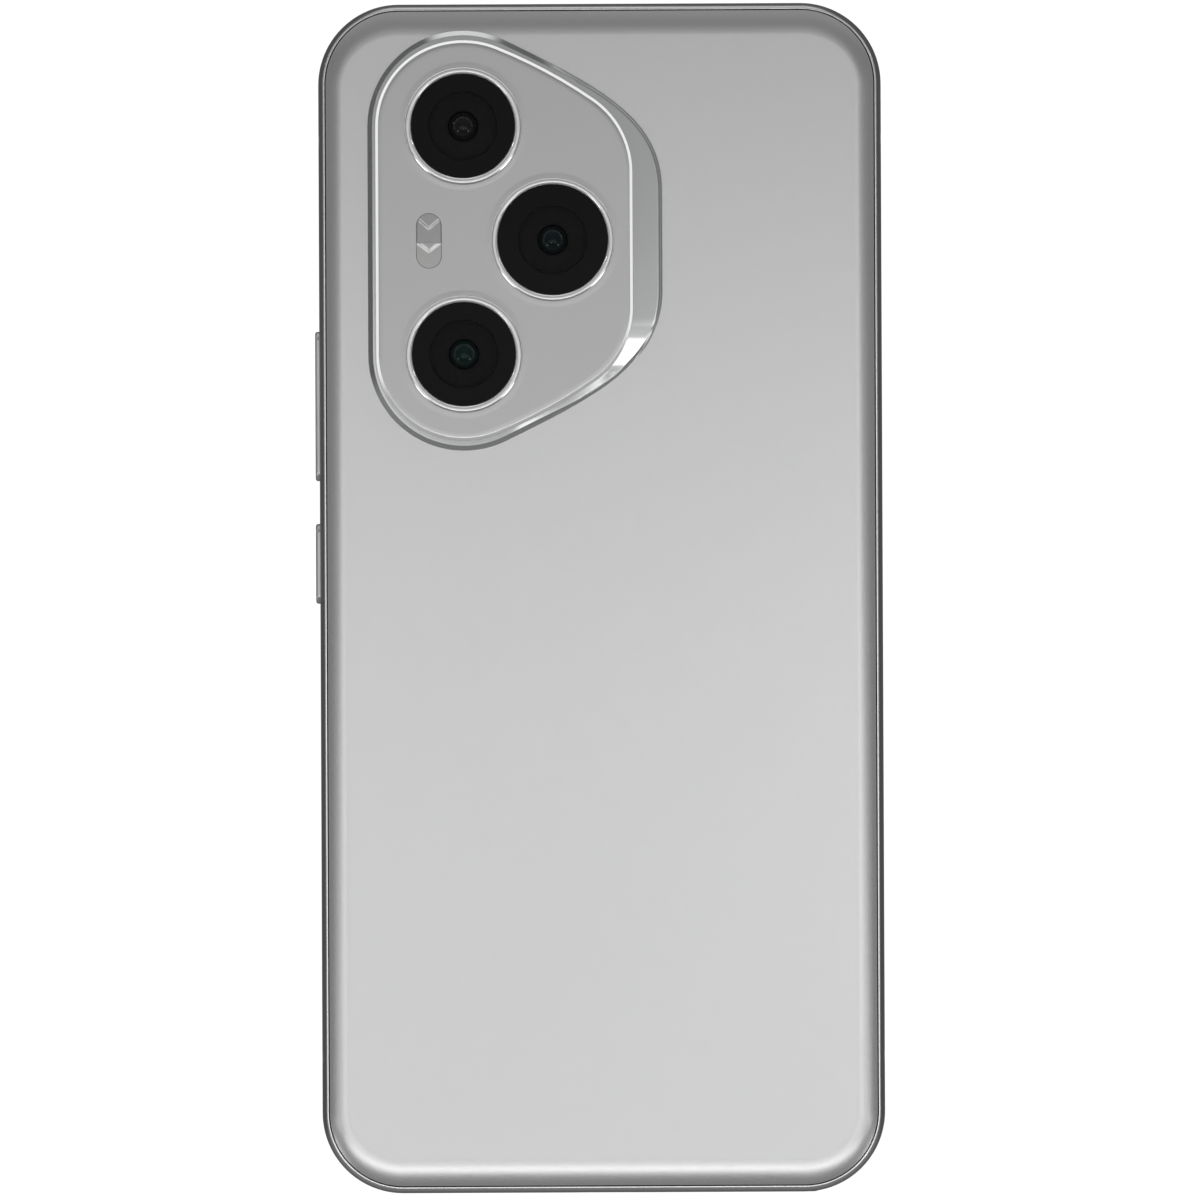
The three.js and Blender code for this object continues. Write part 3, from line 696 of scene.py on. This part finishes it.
base_rows = [
    (0.0, 7.9), (0.0, 8.30), (0.03, 8.66), (SKIRT, 9.315), (SKIRT + CHAMFER, 9.398),
    (0.95, BASE_TOP), *[(1.1 + 0.15 * i, BASE_TOP) for i in range(26)],
]
camera_base = loft("camera_step", skirt_edge, base_rows)
for vertex in camera_base.data.vertices:
    place = vertex.co / MM
    below = FOLD - place.y
    if below > 0 and place.z > SUNK:
        fall = 0.030 * below**2 if below < 3 else 0.27 + 0.160 * (below - 3)
        fall = min(fall, DEEPEST_FALL) * smooth((place.x - FALL_START) / FALL_WIDTH)
        lowest = SUNK + 0.01 + 0.25 * (place.z - SUNK)
        vertex.co.z = max(lowest, place.z - fall) * MM
FLASH_CORNER = 1.69
flash_low, flash_high = cad("flash_window")
flash_well = rounded(flash_low, flash_high, FLASH_CORNER, 10)
wells = [turned("well", x, y, [(6.2, 7.0), (6.2, 10.0)]) for x, y, *_ in CAMERAS.values()]
wells.append(loft("well", flash_well, [(0.2, 7.0), (0.2, 10.0)]))
carve(camera_base, wells)
step_coat = Finish("step_coat", Metallic=0.8)
veil = step_coat.noise(40.0)
cool = (0.98, 1.0, 0.995)
step_coat.feed("Base Color", step_coat.mix(veil, grey(0.63, *cool), grey(0.66, *cool)))
step_coat.feed("Roughness", 0.10 + 0.03 * veil)
dress(camera_base, step_coat, stands_for=["camera_base"])

# ==== Camera plate ============================================================================
# A satin metal plate with a polished, bevelled rim, seated on the step. A low collar rises
# round each of its three camera openings, and a slot takes the flash.

PLATE_TOP = cad("camera_plate")[1].z
END_PULL = 0.27
plate_radius = 12.2
corner_centre = Vector((-7.75, 57.5))
corner_radius = 12.5
flat_radius = 70.0


def joining_centre():
    """The centre of the long flat arc that is tangent to the corner and to the lens arc."""
    from_corner = flat_radius - corner_radius
    from_lens = flat_radius - plate_radius
    span = UPPER_LENS - corner_centre
    distance = span.length
    along = (from_corner**2 - from_lens**2 + distance**2) / (2 * distance)
    across = math.sqrt(from_corner**2 - along**2)
    span.normalize()
    return corner_centre + span * along + Vector((-span.y, span.x)) * across


flat_centre = joining_centre()
turn = math.atan2(*reversed(corner_centre - flat_centre))
meet = math.atan2(*reversed(UPPER_LENS - flat_centre))
plate_half = arc(*corner_centre, corner_radius, 0, turn, 18)
plate_half += arc(*flat_centre, flat_radius, turn, meet, 6)[1:-1]
plate_half += arc(*UPPER_LENS, plate_radius, meet, math.pi, 26)
pulled_half = []
for x, y, u, v in plate_half:
    past_lens = max(0.0, y - UPPER_LENS.y) / plate_radius
    pulled_half.append((x, y - END_PULL * past_lens**2, u, v))
plate_edge = island(pulled_half)
camera_plate = loft(
    "camera_deck", plate_edge,
    [(0.37, 8.6), (0.32, 8.65), (0.32, 10.32), (0.36, 10.45), (0.73, 10.665), (1.0, PLATE_TOP),
     (1.4, PLATE_TOP)],
)
collars = []
holes = []
for x, y, glass, ring in CAMERAS.values():
    collar_rows = [
        (ring + 0.90, PLATE_TOP - 0.2), (ring + 0.90, PLATE_TOP - 0.002),
        (ring + 0.55, PLATE_TOP + 0.020), (ring - 0.4, PLATE_TOP + 0.024),
    ]
    collars.append(turned("collar", x, y, collar_rows, 160))
    holes.append(turned("hole", x, y, [(ring + 0.06, 8.0), (ring + 0.06, 12.0)], 128))
carve(camera_plate, collars, "UNION")
flash_slot = rounded(flash_low, flash_high, FLASH_CORNER, 16)
holes.append(loft("hole", flash_slot, [(-0.05, 8.0), (-0.05, 12.0)]))
carve(camera_plate, holes)
deck = Finish("satin_plate", Metallic=0.9)
haze = deck.noise(22.0, 3.0)
grain = deck.noise(8000.0, 1.0)
level = deck.split(deck.place(), "Z")
rim = 1 - level.step(10.66 * MM, 10.68 * MM)
satin_tone = deck.mix(haze, grey(0.58), grey(0.595, 1.0, 1.002, 1.004))
deck.feed("Base Color", deck.mix(rim, satin_tone, grey(0.95)))
deck.feed("Roughness", 0.29 + 0.04 * grain - 0.19 * rim)
dress(camera_plate, deck, stands_for=["camera_plate"], sharp=12)

# ==== Camera rings, glasses and lenses ========================================================
# Each camera has a turned aluminium ring with a bright bevel on both sides of its flat, a
# coated cover glass printed black but for its middle, and a barrel of lens elements below.

RING_TOP = 11.1
RING_STEPS = 160
GLASS_FACE = 10.85
GLASS_WINDOW = 4.6
LENS_RADIUS = 1.9
LENS_TOP = 10.12


def dark_glass(name, x, y, window):
    """Cover glass printed black behind, and clear inside a round window."""
    pane = Finish(name, IOR=1.16)
    smear = pane.noise(90.0, 3.0)
    print_edge = from_axis(pane, x, y).step((window - 0.25) * MM, (window + 0.25) * MM)
    pane.feed("Base Color", pane.mix(smear, grey(0.0125), grey(0.0140)))
    pane.feed("Roughness", 0.02 + 0.03 * smear)
    pane.feed("Alpha", print_edge)
    return pane


LENS_TINTS = {
    "upper": (grey(0.016, 1.0, 0.9, 1.0), grey(0.016)),
    "middle": (grey(0.012, 0.5, 1.1, 1.2), grey(0.016)),
    "lower": (grey(0.016, 0.4, 1.3, 1.2), grey(0.016)),
}
LENS_CURVES = {"upper": 2.3, "middle": 2.4, "lower": 2.5}
for name, (x, y, glass, ring) in CAMERAS.items():
    curve = LENS_CURVES[name]
    land = ring - glass - 0.03
    bevel = [(0.02, 11.005), (0.15, 11.077), (0.18, 11.089), (0.22, RING_TOP)]
    inner_bevel = [(land - inset, z) for inset, z in reversed(bevel)]
    seat = [(land, 10.96), (land, 10.15), (ring - 6.3, 10.15), (ring - 6.3, 9.45)]
    section = [(0.0, 9.45), (0.0, 10.95), *bevel, *inner_bevel, *seat]
    rows = [(ring - inset, z) for inset, z in section]
    trim = turned("camera_ring_" + name, x, y, rows, RING_STEPS, hollow=True)
    bright = Finish("ring_metal", Metallic=1.0)
    around = bright.noise(1.0, 2.0, (300.0, 300.0, 9000.0))
    height = bright.split(bright.place(), "Z")
    shine = height.step(11.092 * MM, 11.097 * MM)
    flat_tone = bright.mix(around, grey(0.84), grey(0.88))
    bright.feed("Base Color", bright.mix(shine, grey(0.95), flat_tone))
    bright.feed("Roughness", 0.12 + 0.16 * shine + 0.04 * around)
    dress(trim, bright, stands_for=["lens_ring_" + name], sharp=40)

    rows = [(glass - 0.12, 10.2), (glass, 10.28), (glass, 10.76), (glass - 0.10, GLASS_FACE)]
    rows += [(4.0, GLASS_FACE), (3.0, GLASS_FACE), (0.0, GLASS_FACE)]
    pane = turned("camera_glass_" + name, x, y, rows, RING_STEPS)
    mask = dark_glass("camera_mask_" + name, x, y, GLASS_WINDOW)
    dress(pane, mask, stands_for=["lens_glass_" + name])

    module_low, module_high = cad("camera_module_" + name)
    house = loft("camera_barrel_" + name, rounded(module_low, module_high, 0.8, 6),
                 [(0.15, 2.4), (0, 2.55), (0, 6.95), (0.15, 7.1)])
    barrel = turned("barrel", x, y, [
        (4.9, 6.8), (4.9, 9.90), (4.8, 10.0), (4.7, 10.0), (2.3, 9.2), (2.05, 9.1), (1.95, 8.7),
        (0.0, 8.7),
    ], 96)
    carve(house, [barrel], "UNION")
    barrel_black = moulded("barrel_black_" + name, 0.018, 0.7, gloss=0.06)
    dress(house, barrel_black, stands_for=["camera_module_" + name])

    turns = [math.asin(LENS_RADIUS / curve) * i / 14 for i in range(14, -1, -1)]
    dome = [(curve * math.sin(t), LENS_TOP - curve * (1 - math.cos(t))) for t in turns]
    rows = [(LENS_RADIUS, dome[0][1] - 0.3), *dome]
    lens = turned("camera_lens_" + name, x, y, rows, 96)
    tint, rim = LENS_TINTS[name]
    dress(lens, coated("lens_coat_" + name, tint, rim, x, y, 2.7), sharp=60)

# ==== Flash ===================================================================================
# One clear moulding closes the slot over a pair of pale yellow lamps. Each half has its own
# wedge-shaped lens, whose pointed lower edge catches the light.

FLASH_FACE = 10.62
WEDGE_RISE = 0.08
HALF_LINE = -0.27
flash_middle = (flash_low + flash_high) / 2
flash_lens = loft(
    "flash_lens", rounded(flash_low, flash_high, FLASH_CORNER, 20, 0.1),
    [(0.05, 9.45), (0, 9.5), (0, 10.52), (0.05, 10.60),
     *[(0.12 + 0.05 * i, FLASH_FACE) for i in range(32)]],
)
for vertex in flash_lens.data.vertices:
    place = vertex.co / MM - flash_middle
    if vertex.co.z < (FLASH_FACE - 0.01) * MM:
        continue
    tip, slant, sunk = (1.44, 0.84, 0.10) if place.y > HALF_LINE else (-1.67, 0.76, 0.02)
    raised = smooth((place.y - tip - slant * abs(place.x)) / 0.55)
    vertex.co.z += (WEDGE_RISE * raised - sunk) * MM
clear = Finish("flash_clear", Metallic=0.6)
row = clear.split(clear.place(), "Y")
seam = flash_middle.y + HALF_LINE
# Painted shade: the upper half's colour is darker than the lower half's, standing in for the shade of
# its sunk face.
half = row.step((seam - 0.03) * MM, (seam + 0.03) * MM)
milk = clear.noise(500.0)
clear.feed("Base Color", clear.mix(half, grey(0.62, 1.0, 1.0, 0.99), grey(0.52)))
clear.feed("Roughness", 0.08 + 0.06 * milk)
dress(flash_lens, clear, stands_for=["flash_window"], sharp=15)

# ==== Keys ====================================================================================
# Two slim aluminium keys stand proud of the left side. Each is a pill milled with a soft edge,
# and a flange inside the wall stops it from falling out.

KEY_FACE = left - 0.57
KEY_EDGE = 0.30
KEY_HALF = 1.2
FLANGE_REACH = 0.5
for node, middle, length in [
    ("power_key", power_middle, power_length),
    ("volume_key", volume_middle, volume_length),
]:
    half = length / 2
    low = Vector((middle - half, KEY_LEVEL - KEY_HALF))
    high = Vector((middle + half, KEY_LEVEL + KEY_HALF))
    face = roll((0, -KEY_FACE - KEY_EDGE), (KEY_EDGE, -KEY_FACE), 6)
    rows = [(0, -34.9), *[(inset, -x) for inset, x in face]]
    cap = loft(node.replace("key", "button"), rounded(low, high, 1.198, 12), rows, "X")
    reach = Vector((FLANGE_REACH, 0.4))
    flange = rounded(low - reach, high + reach, 0.3, 4)
    carve(cap, [loft("flange", flange, [(0, -35.1), (0, -34.7)], "X")], "UNION")
    dress(cap, anodised("key_metal_" + node, 0.64), node, [node])

# ==== Card tray and its ejector ===============================================================
# The tray slides out of the bottom edge when a pin is pushed in its hole: a rod turns a small
# lever, which pushes the tray through a slider. A rubber seal sits behind the tray's door.

TRAY_X = 20.6
HOLE_X = 27.3
door = loft(
    "card_tray", rounded((tray_low.z, tray_low.x), (tray_high.z, tray_high.x), 1.19, 12),
    [(0.14, foot + 1.3), (0, foot + 1.2), (0, foot + 0.25),
     *[(inset, -y) for inset, y in roll((0, -foot - 0.25), (0.18, -foot - 0.005), 4)]],
    "Y",
)
tongue_plan = rounded((TRAY_X - 5.3, foot + 1.1), (TRAY_X + 5.3, -63.0), 0.9, 6)
tongue = loft("tongue", tongue_plan, [(0.08, 3.1), (0, 3.18), (0, 4.62), (0.08, 4.7)])
carve(door, [tongue], "UNION")
pocket = rounded((TRAY_X - 4.5, -76.6), (TRAY_X + 4.5, -64.2), 0.6, 6)
window = rounded((TRAY_X - 3.4, -75.0), (TRAY_X + 3.4, -66.0), 0.8, 6)
carve(door, [loft("pocket", pocket, [(0, 3.35), (0, 5.5)])])
carve(door, [loft("window", window, [(0, 2.5), (0, 3.6)])])
pinhole = rounded((KEY_LEVEL - 0.45, HOLE_X - 0.45), (KEY_LEVEL + 0.45, HOLE_X + 0.45), 0.449, 8)
carve(door, [loft("pinhole", pinhole, [(0, foot - 1), (0, foot + 2)], "Y")])
dress(door, anodised("tray_metal", 0.60), "sim_tray", ["sim_tray"])

seal_low, seal_high = cad("sim_tray_seal")
seal = loft(
    "tray_seal_ring", rounded((seal_low.z, seal_low.x), (seal_high.z, seal_high.x), 0.7, 8),
    [(0.27, seal_low.y), (0.08, seal_low.y), (0.0, seal_low.y + 0.1), (0.06, seal_low.y + 0.3),
     (0.0, seal_high.y - 0.1), (0.08, seal_high.y), (0.27, seal_high.y)],
    "Y", hollow=True,
)
rubber = moulded("seal_rubber", 0.022, 0.7, 1.0, 900.0)
dress(seal, rubber, "sim_tray", ["sim_tray_seal"])

# ==== Bottom edge =============================================================================
# The socket is a deep-drawn steel shell round a black tongue with gold contacts. The speaker
# slots are backed by a fine mesh, and the microphones sit behind drilled holes.

shell_low, shell_high = cad("usb_shell")
shell_outline = rounded((shell_low.z, shell_low.x), (shell_high.z, shell_high.x), 1.57, 16)
shell = loft(
    "socket_shell", shell_outline,
    [(0.0, -73.0), (0.0, shell_low.y + 0.08), (0.06, shell_low.y + 0.01), (0.2, shell_low.y + 0.01),
     (0.30, shell_low.y + 0.12), (0.30, -73.3), (1.2, -73.3), (1.2, -72.92), (0.1, -72.92)],
    "Y", hollow=True,
)


def pressed(name, tone=0.55, along=(1.0, 1.0, 1.0), rough=0.26):
    """Stamped steel, with drawing marks stretched along the piece."""
    steel = Finish(name, Metallic=1.0)
    marks = steel.noise(2500.0, 2.0, along)
    steel.feed("Base Color", steel.mix(marks, grey(tone * 0.9), grey(tone * 1.05, 1.0, 0.995, 0.98)))
    steel.feed("Roughness", rough + 0.12 * marks)
    steel.relief(marks, 0.002)
    return steel


dress(shell, pressed("shell_steel", 0.6, (1.0, 0.05, 1.0)), stands_for=["usb_shell"])

tongue_low, tongue_high = cad("usb_tongue")
blade = rounded((tongue_low.x + 0.18, tongue_low.y), (tongue_high.x - 0.18, -72.8), 0.5, 6)
blade_rows = [(0.12, -0.35), (0, -0.25), (0, 0.25), (0.12, 0.35)]
tongue_pin = loft("socket_tongue", blade, [(inset, KEY_LEVEL + z) for inset, z in blade_rows])
root = loft("root", rounded((tongue_low.x, -74.4), (tongue_high.x, -72.7), 0.2, 3),
            [(0, KEY_LEVEL - 0.6), (0, KEY_LEVEL + 0.6)])
carve(tongue_pin, [root], "UNION")
contact = Finish("tongue_contacts")
across = contact.split(contact.place(), "X")
comb = across.maths("PINGPONG", across, 0.25 * MM).step(0.14 * MM, 0.16 * MM)
along = contact.split(contact.place(), "Y")
span = along.step(-79.1 * MM, -79.05 * MM) - along.step(-75.2 * MM, -75.15 * MM)
gold = comb * span
contact.feed("Base Color", contact.mix(gold, grey(0.02), grey(0.75, 1.0, 0.74, 0.34)))
contact.feed("Metallic", gold)
contact.feed("Roughness", 0.45 - 0.2 * gold)
contact.relief(gold, 0.02)
dress(tongue_pin, contact, stands_for=["usb_tongue"])

grille = loft(
    "speaker_weave", rounded((mesh_low.z, mesh_low.x), (mesh_high.z, mesh_high.x), 0.89, 10),
    [(0.02, mesh_low.y), (0, mesh_low.y + 0.03), (0, mesh_high.y - 0.03), (0.02, mesh_high.y)], "Y",
)
dress(grille, woven("speaker_mesh_steel", 0.08, 0.14), stands_for=["speaker_mesh"])

for node in ["bottom_microphone", "top_microphone"]:
    low, high = cad(node)
    can = loft(node.replace("phone", "phone_can"), rounded(low, high, 0.25, 4),
               [(0.06, low.z), (0, low.z + 0.06), (0, high.z - 0.1), (0.1, high.z)])
    dress(can, pressed("can_steel", 0.5), stands_for=[node])

eye = loft(
    "infrared_eye",
    rounded((infrared_low.z, infrared_low.x), (infrared_high.z, infrared_high.x), 1.049, 12),
    [(0.0, infrared_low.y), *roll((0.0, infrared_high.y - 0.12), (0.2, infrared_high.y - 0.002), 4),
     (0.6, infrared_high.y - 0.001)],
    "Y",
)
dark = Finish("infrared_dark", Roughness=0.06)
stain = dark.noise(800.0)
dark.feed("Base Color", dark.mix(stain, grey(0.012, 1.2, 0.8, 1.3), grey(0.016, 1.3, 0.8, 1.4)))
dress(eye, dark, stands_for=["infrared_window"])

# ==== Parts inside ============================================================================
# What lies inside keeps its own solid and gets its real finish: boards, shields, flexible
# circuits, the battery's pouch, foils, plastics and the small steel parts of the ejector.


def refinish(finish, *nodes):
    """Gives CAD pieces a finish and leaves their shape as it is."""
    for name in nodes:
        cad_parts[name].material_slots[0].material = finish.material


def film(name, colour, line, pitch):
    """A flexible circuit: copper lines seen through amber film."""
    flex = Finish(name, Roughness=0.35)
    across = flex.split(flex.place(), "X")
    lane = across.maths("PINGPONG", across, pitch * MM)
    trace = lane.step(0.5 * pitch * MM, 0.6 * pitch * MM)
    flex.feed("Base Color", flex.mix(trace, colour, line))
    flex.feed("Metallic", 0.4 * trace)
    flex.relief(trace, 0.01)
    return flex


def board(name):
    """Solder mask over copper: dark green fields with lighter lines round their edges."""
    mask = Finish(name)
    sockets = {"Vector": mask.place(), "Scale": 600.0}
    cell = mask.node("ShaderNodeTexVoronoi", {"feature": "DISTANCE_TO_EDGE"}, sockets)
    line = 1 - cell.step(0.03, 0.07)
    mask.feed("Base Color", mask.mix(line, grey(0.05, 0.4, 1.4, 0.9), grey(0.11, 0.5, 1.5, 0.9)))
    mask.feed("Roughness", 0.45 - 0.1 * line)
    mask.relief(line, 0.02)
    return mask


def wrapped(name, tone, crease, metal):
    """Foil or film laid over a part, with soft creases and a dull sheen."""
    skin = Finish(name, Metallic=metal)
    wave = skin.noise(crease, 4.0)
    skin.feed("Base Color", skin.mix(wave, grey(tone * 0.8), grey(tone * 1.25, 1.0, 1.0, 1.06)))
    skin.feed("Roughness", 0.35 + 0.2 * wave)
    skin.relief(wave, 0.05)
    return skin


copper = grey(0.55, 1.2, 0.7, 0.35)
flex_amber = film("flex_amber", grey(0.34, 1.2, 0.6, 0.2), copper, 0.25)
coil_amber = film("coil_amber", grey(0.30, 1.2, 0.6, 0.2), copper, 0.4)
shield_steel = pressed("shield_steel", 0.55, (0.05, 1.0, 1.0))
ejector_steel = pressed("ejector_steel", 0.5, (1.0, 0.05, 1.0), 0.3)
refinish(moulded("laminate", 0.02, 0.3, 1.0, 300.0), "display_panel")
refinish(wrapped("backing_foil", 0.16, 200.0, 0.8), "display_backing")
refinish(flex_amber, "display_flex", "board_link_flex", "key_flex")
refinish(coil_amber, "nfc_antenna")
refinish(moulded("foam_tape", 0.03, 0.85, 1.0, 2500.0, 0.02), "cover_adhesive")
refinish(moulded("inner_black", 0.025, 0.5), "fingerprint_sensor", "board_bracket", "earpiece_speaker",
         "speaker_module")
refinish(moulded("chip_resin", 0.03, 0.35, 1.0, 4000.0, 0.002), "processor_chip")
refinish(board("solder_mask"), "main_board", "sub_board")
refinish(wrapped("pouch_foil", 0.09, 90.0, 0.5), "battery")
refinish(wrapped("graphite_skin", 0.07, 400.0, 0.2), "graphite_sheet")
refinish(moulded("phosphor", 0.55, 0.6, 1.15, 3000.0), "flash_led")
refinish(shield_steel, "shield_can", "vibration_motor", "sim_reader")
refinish(pressed("small_steel", 0.5, (1.0, 1.0, 0.1), 0.3), "power_switch", "volume_up_switch",
         "volume_down_switch", "board_screw_1", "board_screw_2", "board_screw_3", "board_screw_4")
refinish(ejector_steel, "eject_rod", "eject_lever", "eject_slider")

bpy.context.view_layer.update()
